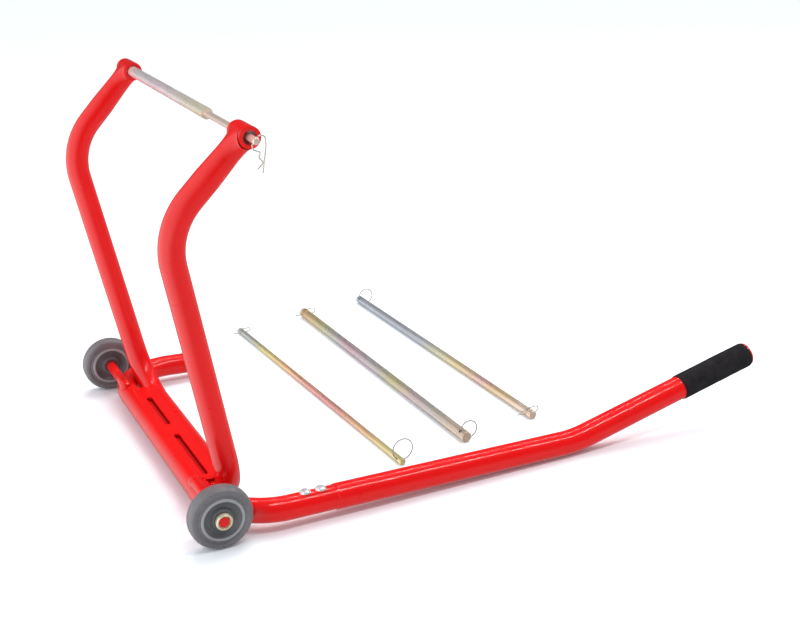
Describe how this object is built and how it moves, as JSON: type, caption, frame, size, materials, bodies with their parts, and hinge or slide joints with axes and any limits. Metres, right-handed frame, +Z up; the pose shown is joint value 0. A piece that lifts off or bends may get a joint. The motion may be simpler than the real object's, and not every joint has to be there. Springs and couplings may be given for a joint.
{
  "type": "paddock stand",
  "caption": "Tubular motorcycle paddock stand on small wheels, with uprights holding a removable lift pin, a bent lever handle with a foam grip, and spare pins of other diameters beside it.",
  "frame": {"origin": "bottom centre of the whole kit on the floor, the spare pins included", "axes": "+X from the wheels towards the handle grip, +Y towards the side away from the handle, +Z up"},
  "size_m": [0.8283, 0.697, 0.4783],
  "materials": {
    "red_paint": "glossy powder coat",
    "bare_steel": "plain drawn steel",
    "bolt_steel": "bright zinc plated",
    "pin_plate": "pale passivated zinc",
    "yellow_zinc": "iridescent yellow zinc",
    "spring_wire": "bright drawn spring wire",
    "tyre_grey": "solid grey rubber",
    "hub_grey": "moulded grey plastic",
    "foam_grip": "closed-cell black foam"
  },
  "bodies": {
    "frame": {"front_cross_tube": "red_paint", "near_base_bend": "red_paint", "far_base_bend": "red_paint", "near_socket": "red_paint", "far_socket": "red_paint", "rear_cross_tube": "red_paint", "near_upright": "red_paint", "far_upright": "red_paint", "near_boss": "red_paint", "far_boss": "red_paint", "slotted_strip": "red_paint", "near_axle": "red_paint", "far_axle": "red_paint", "axle_welds": "red_paint", "near_collar": "yellow_zinc", "far_collar": "yellow_zinc", "handle_spigot": "bare_steel", "handle_weld": "red_paint", "handle_tube": "red_paint", "handle_bolts": "bolt_steel", "handle_nuts": "bolt_steel", "grip": "foam_grip"},
    "near_wheel": {"near_tyre": "tyre_grey", "near_hub": "hub_grey"},
    "far_wheel": {"far_tyre": "tyre_grey", "far_hub": "hub_grey"},
    "lift_pin": {"lift_pin_rod": "pin_plate", "lift_pin_sleeve": "pin_plate"},
    "lift_clip": {"lift_pin_clip": "spring_wire"},
    "spare_pin_1": {"spare_pin_1": "yellow_zinc"},
    "spare_ring_1": {"spare_ring_1": "spring_wire"},
    "spare_clip_1": {"spare_clip_1": "spring_wire"},
    "spare_pin_2": {"spare_pin_2": "yellow_zinc"},
    "spare_ring_2": {"spare_ring_2": "spring_wire"},
    "spare_clip_2": {"spare_clip_2": "spring_wire"},
    "spare_pin_3": {"spare_pin_3": "yellow_zinc"},
    "spare_ring_3": {"spare_ring_3": "spring_wire"},
    "spare_clip_3": {"spare_clip_3": "spring_wire"}
  },
  "joints": [
    {"name": "near_wheel_spin", "type": "hinge", "parent": "frame", "child": "near_wheel", "pos_m": [-0.372, -0.3304, 0.0381], "axis": [0, 1, 0], "continuous": true},
    {"name": "far_wheel_spin", "type": "hinge", "parent": "frame", "child": "far_wheel", "pos_m": [-0.372, 0.1744, 0.0381], "axis": [0, 1, 0], "continuous": true},
    {"name": "lift_pin_withdraw", "type": "slide", "parent": "frame", "child": "lift_pin", "axis": [0, -1, 0], "range_m": [-0.006, 0.5]},
    {"name": "lift_clip_swing", "type": "hinge", "parent": "lift_pin", "child": "lift_clip", "pos_m": [-0.3163, -0.342, 0.466], "axis": [0.6428, 0, 0.766], "range_deg": [-90, 10]},
    {"name": "spare_pin_1_lift", "type": "slide", "parent": "frame", "child": "spare_pin_1", "axis": [0, 0, 1], "range_m": [0, 0.25]},
    {"name": "spare_ring_1_swing", "type": "hinge", "parent": "spare_pin_1", "child": "spare_ring_1", "pos_m": [-0.09873, -0.23301, 0.0045], "axis": [0.9259, 0.049, -0.3746], "range_deg": [-20, 20]},
    {"name": "spare_clip_1_rock", "type": "hinge", "parent": "spare_pin_1", "child": "spare_clip_1", "pos_m": [-0.12647, 0.29101, 0.0045], "axis": [0.9986, 0.0529, 0], "range_deg": [-12, 12]},
    {"name": "spare_pin_2_lift", "type": "slide", "parent": "frame", "child": "spare_pin_2", "axis": [0, 0, 1], "range_m": [0, 0.25]},
    {"name": "spare_ring_2_swing", "type": "hinge", "parent": "spare_pin_2", "child": "spare_ring_2", "pos_m": [0.00778, -0.2105, 0.0075], "axis": [0.5591, 0.0123, -0.829], "range_deg": [-30, 30]},
    {"name": "spare_clip_2_rock", "type": "hinge", "parent": "spare_pin_2", "child": "spare_clip_2", "pos_m": [-0.00378, 0.317, 0.0075], "axis": [0.9998, 0.0219, 0], "range_deg": [-12, 12]},
    {"name": "spare_pin_3_lift", "type": "slide", "parent": "frame", "child": "spare_pin_3", "axis": [0, 0, 1], "range_m": [0, 0.25]},
    {"name": "spare_ring_3_swing", "type": "hinge", "parent": "spare_pin_3", "child": "spare_ring_3", "pos_m": [0.10931, 0.33901, 0.0062], "axis": [0.7068, 0.022, -0.7071], "range_deg": [-30, 30]},
    {"name": "spare_clip_3_rock", "type": "hinge", "parent": "spare_pin_3", "child": "spare_clip_3", "pos_m": [0.12569, -0.18701, 0.0062], "axis": [0.9995, 0.0311, 0], "range_deg": [-12, 12]}
  ]
}
